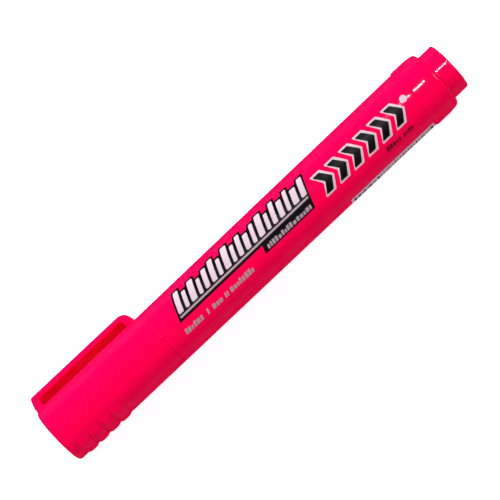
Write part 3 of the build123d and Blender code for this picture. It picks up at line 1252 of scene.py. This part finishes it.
def makeSpot():
    x, s = spot["place"]
    radius, segments = spot["radius"], spot["segments"]
    turns = [k * 2 * pi / segments for k in range(segments)]
    outline = [(x + radius * cos(turn), s + radius * sin(turn)) for turn in turns]
    printed("whiteSpot", [outline], ink["ground"], materials["whiteInk"])


def makePanel():
    # A plain white panel low on the side, with upright bars of mixed widths and nothing to read.
    margin = panel["margin"]
    bottom, top = panel["bottom"], panel["top"]
    ground = leaning(panel["start"], panel["end"], bottom, top, 0.0, panel["round"])
    dice = random.Random(11)
    bars = []
    x = panel["start"] + margin
    while x < panel["end"] - margin - min(panel["barWidths"]):
        width = dice.choice(panel["barWidths"])
        bars.append(leaning(x, x + width, bottom + margin, top - margin, 0.0, panel["barRound"]))
        x += width + dice.choice(panel["barGaps"])
    printed("panelGround", [ground], ink["ground"], materials["whiteInk"])
    printed("panelBars", bars, ink["second"], materials["blackInk"])


print("pieces: cap, clip and inner cap")
makeCap()
makeInnerCap()
makeClip()

print("pieces: barrel, rear plug, holder, nib and reservoir")
makeBarrel()
makeRearPlug()
makeNibHolder()
makeNib()
makeReservoir()
makeFilm()

print("pieces: printing")
makeStrokes()
makeChevrons()
makeSmallPrint()
makeSpot()
makePanel()

# Floor, lights and camera

studio = {
    "cameraHeight": 0.60,
    "fieldWidth": 0.1242,  # metres across the view at the pen's axis
    "roll": radians(-43.5),
    "aim": (-0.0005, 0.0009),  # metres from the pen's middle to the view's
    "world": 0.10,
    "paper": "#F7F7F6",
    "paperGlow": 0.84,
    "paperWidth": 6.0,
    "paperGrain": 0.8,  # millimetres
}

# Each light stands round the pen, in degrees from upright towards the clip's side, and some way
# along it. A light that isn't aimed stays parallel to the pen.
softLight = {"along": 0.0, "aimed": False, "inGloss": False}
glossLight = {"aimed": False, "inGloss": True}
lights = {
    "keySoftbox": {**softLight, "degrees": 41, "distance": 0.85, "size": (1.2, 0.5), "watts": 16.4},
    "fillSoftbox": {**softLight, "degrees": -74, "distance": 0.9, "size": (1.2, 0.4), "watts": 3.1},
    "rearStrip": {  # the line of light on the rear plug
        **glossLight, "degrees": 21, "distance": 0.43, "along": 0.1055, "size": (0.022, 0.021), "watts": 0.16,
    },
    "endSoftbox": {  # the line of light along the pen from behind
        **glossLight, "degrees": 8, "distance": 0.76, "along": 0.9, "size": (0.35, 0.5), "watts": 2.6,
        "aimed": True,
    },
}


def makeFloor():
    # Smooth uncoated white paper, which glows a little so that it stays white around the pen.
    material, tree = blankMaterial("whitePaper")
    place = addNode(tree, "ShaderNodeTexCoord").outputs["Object"]
    shaderSettings = {
        "Base Color": shade(studio["paper"]),
        "Roughness": 0.9,
        "Specular IOR Level": 0.1,
        "Emission Color": shade("#FFFFFF"),
        "Emission Strength": studio["paperGlow"],
    }
    grained(tree, place, studio["paperGrain"], 4, 0.05, shaderSettings)
    mesh = bpy.data.meshes.new("paper")
    half = studio["paperWidth"] / 2
    corners = [(-half, -half, 0), (half, -half, 0), (half, half, 0), (-half, half, 0)]
    mesh.from_pydata(corners, [], [(0, 1, 2, 3)])
    floor = bpy.data.objects.new("paper", mesh)
    bpy.context.scene.collection.objects.link(floor)
    mesh.materials.append(material)
    floor.visible_glossy = False


def addLight(name, setting):
    turn = radians(setting["degrees"])
    lamp = bpy.data.lights.new(name, "AREA")
    lamp.shape = "RECTANGLE"
    lamp.size, lamp.size_y = setting["size"]
    lamp.energy = setting["watts"]
    light = bpy.data.objects.new(name, lamp)
    x = setting["along"]
    y = axisStart.y + setting["distance"] * sin(turn)
    z = axisStart.z + setting["distance"] * cos(turn)
    light.location = (x, y, z)
    light.rotation_mode = "QUATERNION"
    facing = Vector((-x if setting["aimed"] else 0, -y, -z))
    light.rotation_quaternion = facing.to_track_quat("-Z", "Y")
    if setting["inGloss"]:
        light.visible_diffuse = False  # it lights nothing, and shows only as a reflection
    else:
        light.visible_glossy = False  # it lights the pen, and leaves no pale stripe in the gloss
        lamp.cycles.use_multiple_importance_sampling = False
    bpy.context.scene.collection.objects.link(light)


def makeRoom():  # a pale room that lights softly from all round
    world = bpy.data.worlds.new("paleRoom")
    world.use_nodes = True
    backdrop = world.node_tree.nodes["Background"]
    backdrop.inputs["Color"].default_value = shade("#FFFFFF")
    backdrop.inputs["Strength"].default_value = studio["world"]
    world.cycles_visibility.glossy = False
    bpy.context.scene.world = world


def makeCamera():
    lens = bpy.data.cameras.new("camera")
    lens.sensor_width = 36
    lens.lens = lens.sensor_width * studio["cameraHeight"] / studio["fieldWidth"]
    camera = bpy.data.objects.new("camera", lens)
    aimX, aimY = studio["aim"]
    camera.location = (aimX, axisStart.y + aimY, axisStart.z + studio["cameraHeight"])
    camera.rotation_euler = (0, 0, studio["roll"])
    bpy.context.scene.collection.objects.link(camera)
    bpy.context.scene.camera = camera


print("studio: paper, soft lights and a camera straight above")
makeFloor()
for name, setting in lights.items():
    addLight(name, setting)
makeRoom()
makeCamera()
bpy.context.scene.view_settings.view_transform = "Standard"
